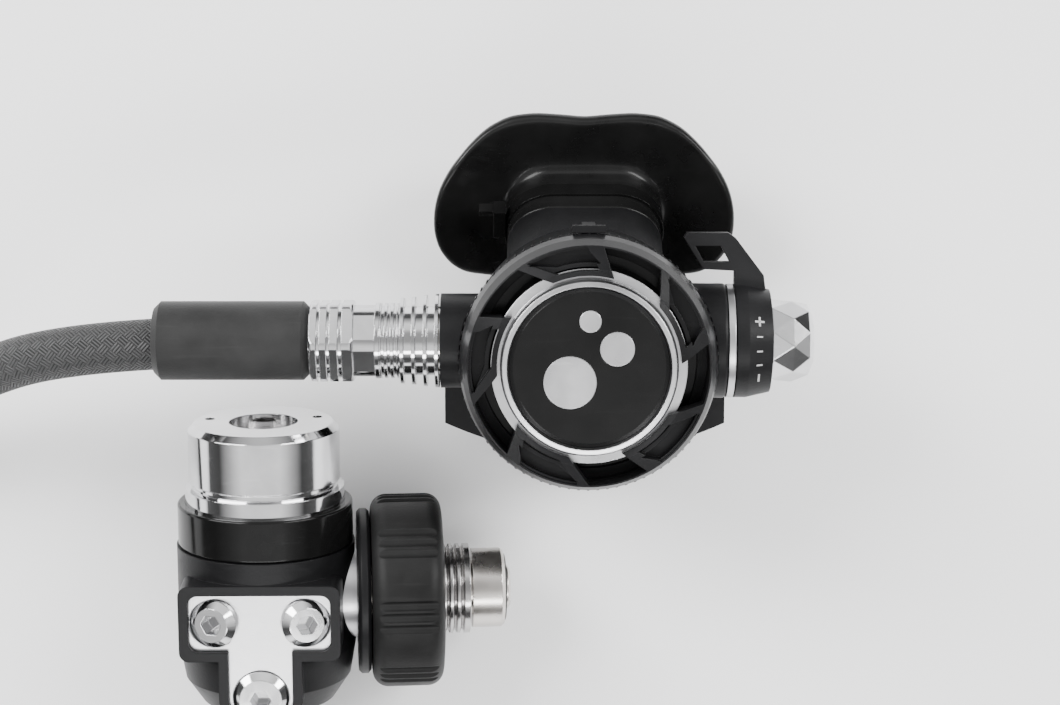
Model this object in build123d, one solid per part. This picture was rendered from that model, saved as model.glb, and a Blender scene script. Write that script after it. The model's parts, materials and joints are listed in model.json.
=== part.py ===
from build123d import *
import math
import os

# Scuba regulator set: second stage, low-pressure hose and first stage with a DIN connector.
# Millimetres.  The set lies on a flat surface, +Z up, origin under the middle of its box.

# ---- Fits and clearances
GAP = 0.3               # between pieces that move past each other
RUN = 0.06              # radial clearance of a running fit
SNUG = 0.05             # radial clearance of a fixed fit

# ---- Second stage case (z: case axis toward the cover, x: barrel toward the knob, y: to the mouth)
CASE_R = 29.5
CASE_WALL = 2.2
CASE_BACK = 20.0        # barrel plane to the outside of the back wall
CASE_FRONT = 11.0       # barrel plane to the front edge of the bowl
CASE_EDGE = 5.0         # rounding of the back edge
CAN_TILT = 18.7         # case axis leans this far from vertical
BOSS_IN_R = 11.65       # hose-side boss
BOSS_IN_X = CASE_R + 6.5
BOSS_OUT_R = 14.15      # knob-side boss
BOSS_OUT_X = CASE_R + 4.6

# ---- Front cover and purge button
COVER_WALL = 1.3
COVER_SKIRT = 9.6       # where the skirt starts above the barrel plane
COVER_FRONT = 25.0
COVER_EYE_R = 22.0      # hole that the purge button sits in
COVER_LIP = 2.6         # thickness of the lip round the eye
COVER_LIP_R = 23.9      # outer radius of the lip's underside
COVER_DEEP = 6.6        # thickness of the ring outside the lip
WINDOW_PAIRS = 5        # each a closed pocket and an open window
WINDOW_OUT_R = 28.7
POCKET_IN_R = 23.3
POCKET_STEP_R = 25.0    # inner radius of the pocket's deeper half
POCKET_STEP = 2.6
POCKET_DEPTH = 5.2
POCKET_INNER = (84.0, 108.0)    # degrees round the case axis, from the knob side
POCKET_OUTER = (91.0, 121.0)
OPEN_INNER = (38.0, 73.0)
OPEN_OUTER = (54.0, 83.0)
BUTTON_R = 21.2
BUTTON_RIM = 2.0
BUTTON_TOP = 26.0
BUTTON_BACK = 20.0
BUTTON_FLANGE_R = 23.5  # flange of the rim, caught under the cover's lip
BUTTON_FLANGE_T = 1.4
BUBBLES = ((-4.6, -3.4, 6.4), (6.6, 4.6, 4.2), (0.2, 11.2, 2.7))   # emblem: x, y and radius
EMBLEM_DEPTH = 0.6
PURGE_TRAVEL = 3.0

# ---- Diaphragm and lever
DIAPHRAGM_Z = 12.0
DIAPHRAGM_T = 0.8
PLATE_R = 15.0
PLATE_T = 1.6
LEVER_PIVOT_X = 16.0
LEVER_PIVOT_Z = 7.9
LEVER_ARM = 19.0
LEVER_W = 3.4

# ---- Valve barrel (its axis runs along x, a little toward the mouth)
BARREL_Y = 3.0
BARREL_R = 6.2
BARREL_BORE = 4.9
BARREL_END_R = 9.0
BARREL_END = 9.0        # length of each wide end
STEM_R = 1.5
POPPET_R = 4.2
POPPET_X = -26.0        # inner face of the poppet head
POPPET_HEAD = 5.0
CROWN_BORE = 2.4

# ---- Inlet side
FIN_R = (10.6, 10.85, 11.25, 11.6)
FIN_T = 0.9
FIN_CORE = 8.5
EXCHANGER_LENGTH = 10.3
GROOVES = 3
GROOVED_LENGTH = 4.6
GROOVED_R = 9.25
INLET_RING = 1.1
INLET_HEX = 5.3
INLET_R = 9.0
NUT_LENGTH = 10.7
NUT_R = 10.05
NUT_FLATS = 19.0

# ---- Knob side
TRIM_RING_T = 1.9
LEVER_COLLAR = 8.7
LEVER_COLLAR_R = 14.0
LEVER_COLLAR_END_R = 12.7
KNOB_LENGTH = 10.6
KNOB_R = 10.15
KNOB_END_R = 9.0
KNOB_SIDES = 9
SCREW_R = 3.6
TAB_T = 3.2

# ---- Mouthpiece (z along the mouth tube toward the diver, y away from the cover's top)
MOUTH_ANGLE = 31.3      # tube axis from the back of the case axis
MOUTH_Y = 8.0
MOUTH_Z = -8.0
NECK_W = 40.0
NECK_H = 24.0
NECK_END = 29.0         # end of the bare neck
SPIGOT_END = 41.0
NECK_SKIN = 2.4         # silicone over the spigot
PASSAGE_W = 30.0
PASSAGE_H = 14.0
SHIELD_AT = 46.0
SHIELD_T = 2.6
SHIELD_BEND = 90.0      # radius that the lip shield is bent to
BITE_LENGTH = 19.0
BITE_X = 20.5
CLAMP_W = 4.5
CLAMP_T = 1.4

# ---- Exhaust
EXHAUST_Y = -13.0
EXHAUST_R = 8.4
VALVE_R = 9.8
VALVE_T = 0.9
VALVE_LIFT = 1.5
TEE_HALF = 36.0
TEE_DEPTH = 29.9
TEE_WALL = 1.8

# ---- Hose
HOSE_D = 12.7
PROTECTOR_R = 9.75
PROTECTOR_LENGTH = 38.3
FERRULE_R = 7.7
FERRULE_LENGTH = 11.0

# ---- First stage (z: body axis toward the spring cap, x: toward the DIN nose, -y: port plate)
FIRST_X = -81.0
FIRST_Y = -57.0
FIRST_RAISE = 21.5      # cap end raised from level
NOSE_DIP = 5.0          # DIN nose turned down
PLATE_TURN = 4.0        # port plate turned from square to the DIN axis
CAP_TOP = 44.8
CAP_R = 19.0
CAP_LOW_R = 20.0
CAP_GROOVE_Z = 29.5
CAP_HOLE_R = 8.65
BAND_R = 22.0
BAND_LOW = 14.0
BAND_HIGH = 24.6
SHROUD_R = 22.4
SHROUD_BOTTOM = 29.5
BODY_R = 19.6
BODY_BOTTOM = 27.0
SPRING_BORE = 11.5
PLATE_Y = 21.4          # outer face of the port plate
PLATE_W = 35.0
PLATE_H = 14.5
PLATE_TOP = 6.1
LEG_LOW = 20.5
LEG_R = 7.9
RIM_T = 2.4
PLUG_R = 6.1
PLUG_LOW_R = 7.0
HEX_KEY = 4.6
STACK_TRAVEL = 0.6

# ---- DIN connector
COLLAR_R = 21.0
COLLAR_X = SHROUD_R + 0.4
WHEEL_X = COLLAR_X + 3.6
WHEEL_W = 18.0
WHEEL_R = 24.5
WHEEL_LOBES = 8
STEM_SHAFT_R = 7.0
SLEEVE_R = 10.2
DIN_THREAD_R = 11.45    # G 5/8 major radius
DIN_PITCH = 1.814
DIN_THREAD = 6.9
NOSE_R = 10.1
NOSE_FROM = WHEEL_X + WHEEL_W + 7.6
NOSE_LENGTH = 8.2
NOSE_TO = NOSE_FROM + NOSE_LENGTH
SPRING_SEAT = NOSE_FROM - 12.0  # step that the closing spring stands on
FILTER_SEAT = SPRING_SEAT - 7.0
PISTON_R = 5.5
PISTON_OUT = 1.6
PISTON_TRAVEL = 1.4

# ---- Coil springs: mean radius, wire radius, turns
PURGE_COIL = (8.0, 0.45, 4)
POPPET_COIL = (3.1, 0.4, 6)
MAIN_COIL = (8.0, 1.2, 3)
PRESSURE_COIL = (2.6, 0.4, 5)
NOSE_COIL = (3.6, 0.4, 6)

# Middle of the set's box, seen from the case centre, and the case centre's height.
MIDDLE_X = -25.65
MIDDLE_Y = -13.5
CASE_HEIGHT = 56.74
FIRST_HEIGHT = 27.8

# Route of the hose between its two straight ends, seen from the case centre; heights from the floor.
STRAIGHT_OUT = 54.0     # from the hose's end face at the second stage to the first bend
STRAIGHT_IN = 33.0      # from the last bend to the end face at the first stage
ROUTE = [
    (-164.5, -4.5, 32.6),
    (-197, -24, 10),
    (-224, -56, 6.45),
    (-234, -98, 6.45),
    (-225, -142, 6.45),
    (-199, -173.5, 6.45),
    (-162.6, -188.1, 6.45),
    (-124.7, -182.6, 8.0),
    (-95.4, -160.3, 12.5),
]

# ---- Sizes that follow from those above, or are shared by mating pieces
COVER_OUT_R = CASE_R + GAP + COVER_WALL
PLATE_TOP_Z = DIAPHRAGM_Z + DIAPHRAGM_T + PLATE_T
DIAPHRAGM_RIM = CASE_R - 0.4
BARREL_GROOVES = (-BOSS_IN_X + 5.0, BOSS_OUT_X - 4.0)
SCREW_INNER = BOSS_OUT_X - 6.0
KNOB_START = BOSS_OUT_X + TRIM_RING_T + LEVER_COLLAR
INLET_SPIGOT_R = 6.0
INLET_BORE = 4.95
INLET_START = -BOSS_IN_X - EXCHANGER_LENGTH - GROOVED_LENGTH
NUT_END = INLET_START - INLET_RING - INLET_HEX
HOSE_STEM_R = 4.6
CLAMP_AT = NECK_END + 5.0
BITE_START = SHIELD_AT + 3.6
HOSE_R = HOSE_D / 2
SHOULDER = NUT_END - NUT_LENGTH     # hose side of the swivel nut, on the barrel axis
FACE = 2.0                          # shoulder to the hose's end face
FIRST_HEX = 5.0
FIRST_FACE = 15.0                   # port centre to the hose's end face at the first stage
PORT_BOSS = 8.0
PORT_R = 5.0
PLUG_SEATS = [(-11.2, -1.2, PLUG_R, -17.0), (11.2, -1.2, PLUG_R, 17.0), (0.0, -LEG_LOW, PLUG_LOW_R, 0.0)]
BACK_PORTS = (180.0, 222.0)     # turned from the port plate's direction
DIAPHRAGM_LOW = BAND_LOW
PAD_TOP = DIAPHRAGM_LOW + 4.6


def turned(*points):
    """Solid of revolution about z; each point is (radius, height)."""
    return revolve(Plane.XZ * make_face(Polyline(*points, close=True)), Axis.Z)


def rod(radius, low, high):
    return Location((0, 0, low)) * extrude(Circle(radius), high - low)


def tube(outer, inner, low, high):
    return Location((0, 0, low)) * extrude(Circle(outer) - Circle(inner), high - low)


def oval(width, height, low, high):
    return Location((0, 0, low)) * extrude(SlotOverall(width, height), high - low)


def block(width, depth, height, x=0, y=0, z=0):
    return Location((x, y, z)) * Box(width, depth, height)


def round_ring(radius, section, height):
    return Location((0, 0, height)) * Torus(radius, section)


def coil(size, low, high):
    """Coil spring along z, resting between two heights."""
    radius, wire, turns = size
    rise = high - low - 2 * wire
    line = Helix(pitch=rise / turns, height=rise, radius=radius)
    wound = sweep(Plane(origin=line @ 0, z_dir=line % 0) * Circle(wire), path=line, is_frenet=True)
    return Location((0, 0, low + wire)) * wound


def hexagon(flats, low, high):
    shape = RegularPolygon(flats / 2, 6, major_radius=False)
    return Location((0, 0, low)) * extrude(shape, high - low)


# ---- Frames of the two stages
STAGE2 = Location((-MIDDLE_X, -MIDDLE_Y, CASE_HEIGHT)) * Rot(X=CAN_TILT)
BARREL = STAGE2 * Location((0, BARREL_Y, 0)) * Rot(Y=90)
MOUTH = STAGE2 * Location((0, MOUTH_Y, MOUTH_Z)) * Rot(X=180 + MOUTH_ANGLE)
MOUTH_IN_CASE = Location((0, MOUTH_Y, MOUTH_Z)) * Rot(X=180 + MOUTH_ANGLE)
ALONG_BARREL = Location((0, BARREL_Y, 0)) * Rot(Y=90)
STAGE1 = (
    Location((FIRST_X - MIDDLE_X, FIRST_Y - MIDDLE_Y, FIRST_HEIGHT))
    * Rot(X=FIRST_RAISE - 90)
    * Rot(Z=NOSE_DIP)
)
DIN = STAGE1 * Rot(Y=90)


# ---- Second stage: housing

def case():
    """Bowl with the two barrel bosses, the mouth neck and the exhaust port."""
    bowl = fillet(rod(CASE_R, -CASE_BACK, CASE_FRONT).edges().sort_by(Axis.Z)[0], CASE_EDGE)
    knob_boss = rod(BOSS_OUT_R, 0, BOSS_OUT_X)
    knob_boss = fillet(knob_boss.edges().sort_by(Axis.Z)[-1], 1.0)
    bosses = ALONG_BARREL * (rod(BOSS_IN_R, -BOSS_IN_X, 0) + knob_boss)
    neck = oval(NECK_W, NECK_H, 0, NECK_END)
    neck += oval(NECK_W - 2 * NECK_SKIN, NECK_H - 2 * NECK_SKIN, 0, SPIGOT_END)
    hollow = rod(CASE_R - CASE_WALL, CASE_WALL - CASE_BACK, COVER_FRONT)
    hollow = fillet(hollow.edges().sort_by(Axis.Z)[0], CASE_EDGE - CASE_WALL)
    passage = oval(PASSAGE_W, PASSAGE_H, 0, SPIGOT_END + 1)
    bore = ALONG_BARREL * rod(BARREL_END_R + SNUG, -BOSS_IN_X - 1, BOSS_OUT_X + 1)
    shell = bowl + bosses + MOUTH_IN_CASE * neck - hollow - MOUTH_IN_CASE * passage - bore
    cover_room = rod(COVER_OUT_R + GAP, CASE_FRONT, COVER_FRONT)
    cover_room += tube(COVER_OUT_R + GAP, CASE_R, COVER_SKIRT - GAP, CASE_FRONT + 1)
    return shell - cover_room - exhaust_port()


def exhaust_port():
    """Ring of openings round the hub that holds the exhaust valve's stem."""
    deep = CASE_WALL + 2
    port = tube(EXHAUST_R, 2.6, 0, deep) + rod(0.9, 0, deep)
    for turn in (0, 60, 120):
        port -= Rot(Z=turn) * block(2 * EXHAUST_R, 1.4, 2 * deep) - rod(2.6, -deep, deep)
    return Location((0, EXHAUST_Y, -CASE_BACK - 1)) * port


def front_cover():
    """Ring with a deep shoulder, cut by pairs of a closed pocket and an open window."""
    outer = COVER_OUT_R
    skirt = CASE_R + GAP
    inside = skirt - 1.2
    lip = COVER_FRONT - COVER_LIP
    under = COVER_FRONT - COVER_DEEP
    shell = turned(
        (skirt, COVER_SKIRT), (outer - 0.5, COVER_SKIRT), (outer, COVER_SKIRT + 3), (outer, 17),
        (outer - 0.7, 20), (outer - 2.0, 23.2), (COVER_EYE_R + 1.6, COVER_FRONT), (COVER_EYE_R, COVER_FRONT - 0.6),
        (COVER_EYE_R, lip), (COVER_LIP_R, lip), (COVER_LIP_R, under), (inside, under),
        (inside, CASE_FRONT + 3.2), (skirt, CASE_FRONT + 3.2),
    )
    deep = window(POCKET_STEP_R, POCKET_INNER, WINDOW_OUT_R - 0.6, POCKET_OUTER)
    pocket = Location((0, 0, COVER_FRONT - POCKET_DEPTH)) * extrude(deep, POCKET_DEPTH)
    wide = window(POCKET_IN_R, POCKET_INNER, WINDOW_OUT_R, POCKET_OUTER)
    pocket += Location((0, 0, COVER_FRONT - POCKET_STEP)) * extrude(wide, POCKET_STEP + 1)
    through = window(COVER_EYE_R - 1, OPEN_INNER, WINDOW_OUT_R, OPEN_OUTER)
    opening = Location((0, 0, under - 1)) * extrude(through, COVER_DEEP + 2)
    for index in range(WINDOW_PAIRS):
        shell -= Rot(Z=index * 360 / WINDOW_PAIRS) * (pocket + opening)
    return shell


def window(inner_r, inner_turns, outer_r, outer_turns):
    """Slanted opening between two arcs, each from one angle to another."""
    def arc(radius, turns):
        first, last = turns
        places = [math.radians(turn) for turn in (first, (first + last) / 2, last)]
        return ThreePointArc(*[(radius * math.cos(turn), radius * math.sin(turn)) for turn in places])

    inner = arc(inner_r, inner_turns)
    outer = arc(outer_r, outer_turns)
    return make_face([inner, Line(inner @ 1, outer @ 1), outer, Line(outer @ 0, inner @ 0)])


def cover_lock_tab():
    """T-shaped lug at the top of the case that keys the cover."""
    stand = COVER_OUT_R + 0.2
    low = COVER_SKIRT - GAP
    lug = block(3.2, 1.8, 8.0, y=stand + 0.9, z=low + 2) + block(8.0, 1.8, 2.4, y=stand + 0.9, z=low + 6)
    foot = block(3.2, stand + 0.9 - CASE_R - SNUG, 3.0, y=(stand + 0.9 + CASE_R + SNUG) / 2, z=low - 1.6)
    return lug + foot


def purge_button():
    inner = BUTTON_R - BUTTON_RIM - SNUG
    disc = turned(
        (0, BUTTON_TOP - 2.2), (0, BUTTON_TOP - 0.4), (inner - 1, BUTTON_TOP - 0.9), (inner, BUTTON_TOP - 1.5),
        (inner, BUTTON_TOP - 3.4), (inner - 1.4, BUTTON_TOP - 3.4), (inner - 1.4, BUTTON_TOP - 2.2),
    )
    hub = tube(5.6, 4.2, PLATE_TOP_Z + GAP, BUTTON_TOP - 2.2)
    return disc + hub - purge_emblem_shape(EMBLEM_DEPTH)


def purge_emblem_shape(depth):
    """Three bubbles sunk in the button's face."""
    low = BUTTON_TOP - 0.9 - depth
    bubbles = [Location((x, y, 0)) * rod(radius, low, BUTTON_TOP + 1) for x, y, radius in BUBBLES]
    return bubbles[0] + bubbles[1] + bubbles[2]


def purge_emblem():
    """Bright inlays of the bubbles, just under the button's face."""
    top = BUTTON_TOP - 0.75
    low = BUTTON_TOP - 0.9 - EMBLEM_DEPTH + SNUG
    return [Location((x, y, 0)) * rod(radius - SNUG, low, top) for x, y, radius in BUBBLES]


def purge_rim():
    """Bright rim of the button, with the flange that the cover's lip holds."""
    inner = BUTTON_R - BUTTON_RIM
    flange = COVER_FRONT - COVER_LIP - GAP
    return turned(
        (inner, BUTTON_BACK), (BUTTON_FLANGE_R, flange - BUTTON_FLANGE_T), (BUTTON_FLANGE_R, flange),
        (BUTTON_R, flange), (BUTTON_R, BUTTON_TOP - 1.2), (BUTTON_R - 0.5, BUTTON_TOP - 0.2),
        (inner + 0.4, BUTTON_TOP), (inner, BUTTON_TOP - 1.4),
    )


def purge_spring():
    return coil(PURGE_COIL, PLATE_TOP_Z + 0.1, BUTTON_TOP - 2.3)


# ---- Second stage: diaphragm, lever and valve


def diaphragm():
    low = DIAPHRAGM_Z
    high = DIAPHRAGM_Z + DIAPHRAGM_T
    fold = PLATE_R + 5.0
    return turned(
        (0, low), (PLATE_R + 2, low), (fold, low + 1.6), (fold + 4, low), (CASE_R - CASE_WALL + 0.1, low),
        (CASE_R - CASE_WALL + 0.1, CASE_FRONT), (DIAPHRAGM_RIM, CASE_FRONT), (DIAPHRAGM_RIM, high),
        (fold + 4, high), (fold, high + 1.6), (PLATE_R + 2, high), (0, high),
    )


def diaphragm_plate():
    base = DIAPHRAGM_Z + DIAPHRAGM_T
    plate = tube(PLATE_R, 2.0, base, base + PLATE_T) + tube(11.5, 2.0, base, base + PLATE_T)
    return chamfer(plate.edges().group_by(Axis.Z)[-1], 0.4)


def diaphragm_ring():
    base = DIAPHRAGM_Z + DIAPHRAGM_T
    return tube(DIAPHRAGM_RIM, PLATE_R + 11.2, base, base + 1.2)


def demand_lever():
    """Arm under the diaphragm, pivot tube, and a fork that pulls the poppet stem."""
    foot_z = DIAPHRAGM_Z - GAP
    run = LEVER_ARM
    rise = foot_z - 0.6 - LEVER_PIVOT_Z
    pivot = Rot(X=90) * Location((0, 0, -2.6)) * extrude(Circle(1.7) - Circle(0.9 + RUN), 5.2)
    slope = math.degrees(math.atan2(rise, run))
    arm = Rot(Y=slope) * block(math.hypot(run, rise), LEVER_W, 1.0, x=-math.hypot(run, rise) / 2)
    arm -= Rot(X=90) * Location((0, 0, -4)) * extrude(Circle(1.7), 8)
    foot = Location((-run, 0, rise)) * Rot(X=90) * Location((0, 0, -3.5)) * extrude(Circle(0.6), 7)
    reach = LEVER_PIVOT_Z - 0.6
    drop = reach - 0.9
    prongs = [block(1.0, 1.0, drop, y=side * (STEM_R + 0.9), z=-0.9 - drop / 2) for side in (-1, 1)]
    prongs = [prong - Rot(X=90) * Location((0, 0, -4)) * extrude(Circle(1.3), 8) for prong in prongs]
    lever = pivot + arm + foot + prongs[0] + prongs[1]
    return Location((LEVER_PIVOT_X, BARREL_Y, LEVER_PIVOT_Z)) * lever


def lever_pin():
    """Pivot pin, held by the barrel's two ears."""
    pin = Rot(X=90) * Location((0, 0, -5.0)) * extrude(Circle(0.9), 10.0)
    return Location((LEVER_PIVOT_X, BARREL_Y, LEVER_PIVOT_Z)) * pin


def valve_barrel():
    body = rod(BARREL_R, -BOSS_IN_X, BOSS_OUT_X)
    body += rod(BARREL_END_R, -BOSS_IN_X, BARREL_END - BOSS_IN_X)
    body += rod(BARREL_END_R, BOSS_OUT_X - BARREL_END, BOSS_OUT_X)
    body -= rod(BARREL_BORE, -BOSS_IN_X - 1, BOSS_OUT_X + 1)
    for side in (-1, 1):
        ear = block(LEVER_PIVOT_Z + 1.6 - 4.0, 1.2, 4.0, x=-(LEVER_PIVOT_Z + 1.6 + 4.0) / 2, y=side * 3.9)
        body += Location((0, 0, LEVER_PIVOT_X)) * ear
    pin_hole = Rot(X=90) * Location((0, 0, -8)) * extrude(Circle(0.9 + SNUG), 16)
    body -= Location((-LEVER_PIVOT_Z, 0, LEVER_PIVOT_X)) * pin_hole
    slot = block(BARREL_R + 1, 6.2, 6.4, x=-(BARREL_R + 1) / 2 - 0.6, z=LEVER_PIVOT_X)
    outlet = block(BARREL_R + 1, 7.0, 9.0, x=(BARREL_R + 1) / 2 + 2, z=-POPPET_X - 40)
    for groove in BARREL_GROOVES:
        body -= tube(BARREL_END_R + 1, BARREL_END_R - 1.5, groove - 0.8, groove + 0.8)
    return body - slot - outlet


def inlet_crown():
    """Orifice tube that the poppet seals against."""
    face = POPPET_X - POPPET_HEAD - 0.1
    return turned(
        (CROWN_BORE, face - 14), (BARREL_BORE - SNUG, face - 14), (BARREL_BORE - SNUG, face - 3),
        (CROWN_BORE + 0.7, face - 1.0), (CROWN_BORE + 0.3, face), (CROWN_BORE, face),
    )


def poppet():
    back = POPPET_X
    tip = LEVER_PIVOT_X + 4.0
    shape = turned(
        (0, back - POPPET_HEAD + 1.6), (3.0, back - POPPET_HEAD + 1.6), (3.0, back - POPPET_HEAD),
        (POPPET_R, back - POPPET_HEAD), (POPPET_R, back), (STEM_R, back),
        (STEM_R, LEVER_PIVOT_X + 0.5 + 0.3), (POPPET_R, LEVER_PIVOT_X + 0.5 + 0.3),
        (POPPET_R, tip - 2), (STEM_R, tip - 2), (STEM_R, tip), (0, tip),
    )
    return shape


def poppet_seat():
    back = POPPET_X - POPPET_HEAD
    return rod(3.0 - SNUG, back, back + 1.6)


def poppet_spring():
    return coil(POPPET_COIL, LEVER_PIVOT_X + 2.1, SCREW_INNER - 0.1)


def adjusting_screw():
    """Plug that loads the poppet spring, with a threaded shank in the knob."""
    body = rod(BARREL_BORE - RUN, SCREW_INNER, SCREW_INNER + 4)
    return body + rod(SCREW_R, SCREW_INNER + 4, KNOB_START + 4.0)


def knob_retainer():
    return tube(BARREL_END_R, SCREW_R + 3.0, BOSS_OUT_X + SNUG, BOSS_OUT_X + 1.0)


def effort_knob():
    """Knob of triangular facets: two polygons turned half a side from each other."""
    low = KNOB_START + GAP
    high = KNOB_START + KNOB_LENGTH
    middle = (low + high) / 2
    step = 360 / KNOB_SIDES

    def ring(radius, height, turn):
        turns = [math.radians(turn + step * n) for n in range(KNOB_SIDES)]
        return [Vector(radius * math.cos(angle), radius * math.sin(angle), height) for angle in turns]

    rings = [
        ring(KNOB_R, low, 0), ring(KNOB_R, middle, step / 2),
        ring(KNOB_END_R, high - 1.2, step), ring(KNOB_END_R - 2.4, high, 1.5 * step),
    ]
    faces = [Face(Wire.make_polygon(rings[0])), Face(Wire.make_polygon(rings[-1]))]
    for below, above in zip(rings, rings[1:]):
        for n in range(KNOB_SIDES):
            after = (n + 1) % KNOB_SIDES
            faces.append(Face(Wire.make_polygon([below[n], below[after], above[n]])))
            faces.append(Face(Wire.make_polygon([below[after], above[after], above[n]])))
    head = Solid(Shell(faces))
    shank = tube(SCREW_R + 2.0, SCREW_R + RUN, BOSS_OUT_X + 0.1, low + 0.1)
    return head + shank - rod(SCREW_R + RUN, BOSS_OUT_X, KNOB_START + 6.5)


def venturi_trim_ring():
    return tube(LEVER_COLLAR_R, BARREL_END_R + SNUG, BOSS_OUT_X, BOSS_OUT_X + TRIM_RING_T - GAP)


def venturi_lever():
    """Collar round the barrel end with a tab over the shoulder of the case."""
    low = BOSS_OUT_X + TRIM_RING_T
    high = KNOB_START
    inner = SCREW_R + 2.0 + GAP
    collar = turned(
        (inner, low), (LEVER_COLLAR_R, low), (LEVER_COLLAR_R, low + 3),
        (LEVER_COLLAR_END_R, high), (inner, high),
    )
    outline = Polyline(
        (low, 10), (low, 17.5), (low - 7.6, 17.9), (low - 12.4, 25.6), (low - 11.6, 26.8),
        (low - 1.5, 26.8), (low + 0.4, 25.4), (low + 7.2, 16.4), (high - 0.6, 10), close=True,
    )
    tab = Location((0, 0, -TAB_T / 2)) * extrude(make_face(outline), TAB_T)
    window = Polyline(
        (low - 7.4, 19.6), (low - 9.6, 23.6), (low - 3.4, 23.6), (low - 1.2, 19.6), close=True
    )
    tab -= Location((0, 0, -TAB_T)) * extrude(make_face(window), 2 * TAB_T)
    return collar + Rot(Y=-90) * tab


def venturi_vane():
    """Flap in the case that swings across the air outlet with the lever."""
    inner = BARREL_R + GAP
    ring = tube(inner + 1.0, inner, 20.0, 24.4)
    flap = (tube(inner + 1.0, inner, 2.0, 20.0)) & block(12, 9, 50, x=12, z=10)
    return ring + flap


# ---- Second stage: inlet side and heat exchanger

def heat_exchanger():
    start = -BOSS_IN_X - EXCHANGER_LENGTH
    inner = INLET_SPIGOT_R + SNUG
    sleeve = tube(FIN_CORE, inner, start, -BOSS_IN_X)
    pitch = (EXCHANGER_LENGTH - 2 * FIN_T) / (len(FIN_R) - 1)
    for index, radius in enumerate(FIN_R):
        place = start + FIN_T / 2 + index * pitch
        sleeve += tube(radius, inner, place, place + FIN_T)
    grooved = start - GROOVED_LENGTH
    sleeve += tube(GROOVED_R, inner, grooved, start)
    for index in range(GROOVES):
        middle = grooved + (index + 0.5) * GROOVED_LENGTH / GROOVES
        sleeve -= tube(GROOVED_R + 1, GROOVED_R - 0.7, middle - 0.35, middle + 0.35)
    return sleeve


def inlet_fitting():
    """Hexagon with a ring and a spigot that runs through the heat exchanger into the barrel."""
    ring = tube(GROOVED_R + 0.1, INLET_BORE, INLET_START - INLET_RING, INLET_START)
    body = rod(INLET_R, INLET_START - INLET_RING - INLET_HEX, INLET_START - INLET_RING)
    body &= hexagon(2 * INLET_R - 1.2, INLET_START - 20, INLET_START)
    spigot = rod(INLET_SPIGOT_R, INLET_START, -BOSS_IN_X - 0.1)
    thread = rod(INLET_SPIGOT_R, NUT_END - 6.0, INLET_START - INLET_RING - INLET_HEX)
    return body + ring + spigot + thread - rod(INLET_BORE, NUT_END - 20, 0)


def hose_nut():
    """Swivel nut with rounded ridges."""
    low = NUT_END - NUT_LENGTH
    blank = hexagon(NUT_FLATS, low, NUT_END) & fillet(rod(NUT_R + 0.5, low, NUT_END).edges(), 1.0)
    for place, width in ((0.2, 0.7), (0.43, 0.7), (0.7, 0.9)):
        middle = low + place * NUT_LENGTH
        blank -= tube(NUT_R + 2, NUT_R - 0.9, middle - width / 2, middle + width / 2)
    blank -= rod(INLET_SPIGOT_R + SNUG, low + 3, NUT_END + 1)
    return blank - rod(HOSE_STEM_R + SNUG, low - 1, low + 4)


# ---- Second stage: exhaust and mouthpiece

def exhaust_valve():
    back = -CASE_BACK - 0.05
    disc = turned(
        (0, back), (VALVE_R - 0.6, back), (VALVE_R, back - 0.4),
        (VALVE_R - 0.3, back - VALVE_T), (0, back - VALVE_T),
    )
    stem = rod(0.9 - RUN, back - 0.1, CASE_WALL - CASE_BACK + VALVE_LIFT + 1.0)
    bead = rod(1.6, CASE_WALL - CASE_BACK + VALVE_LIFT + GAP, CASE_WALL - CASE_BACK + VALVE_LIFT + 1.3)
    return Location((0, EXHAUST_Y, 0)) * (disc + stem + bead)


def tee_outline(inset):
    """Moustache shape seen from the front, smaller all round by an inset."""
    end_x = TEE_HALF
    low = ThreePointArc((-end_x, -22 + inset), (0, -29 + inset), (end_x, -22 + inset))
    high = ThreePointArc((end_x, -8 - inset), (0, 0.4 - inset), (-end_x, -8 - inset))
    return make_face([low, Line(low @ 1, high @ 0), high, Line(high @ 1, low @ 0)])


def tee_side(inset):
    """The tee's reach behind the case, seen from above."""
    end_x = TEE_HALF + 1
    top = -CASE_BACK - inset - 0.1
    bottom = -CASE_BACK - TEE_DEPTH + inset
    side = make_face(Polyline(
        (-end_x, top - 4), (-22, top), (22, top), (end_x, top - 4), (end_x, bottom + 7),
        (20, bottom), (-20, bottom),
        (-end_x, bottom + 7), close=True,
    ))
    return Location((0, 60, 0)) * extrude(Plane.XZ * side, 120)


def exhaust_tee():
    outer = extrude_down(tee_outline(0)) & tee_side(0)
    inner = extrude_down(tee_outline(TEE_WALL)) & tee_side(TEE_WALL)
    mouth = Location((0, EXHAUST_Y, -CASE_BACK - TEE_WALL - 1)) * extrude(Circle(VALVE_R + 1.4), TEE_WALL + 2)
    return outer - inner - mouth


def extrude_down(face):
    return Location((0, 0, -CASE_BACK - 60)) * extrude(face, 60)


def shield_outline():
    """Kidney outline of the lip shield; y points away from the cover's top."""
    half = [
        (0, -27.2), (13, -28.6), (25, -24.8), (34, -16.5), (39, -6), (39.6, 4), (35.5, 15), (26, 22.8),
        (13, 25), (0, 22),
    ]
    other = [(-x, y) for x, y in reversed(half[1:-1])]
    return make_face(Spline(*half, *other, periodic=True))


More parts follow.
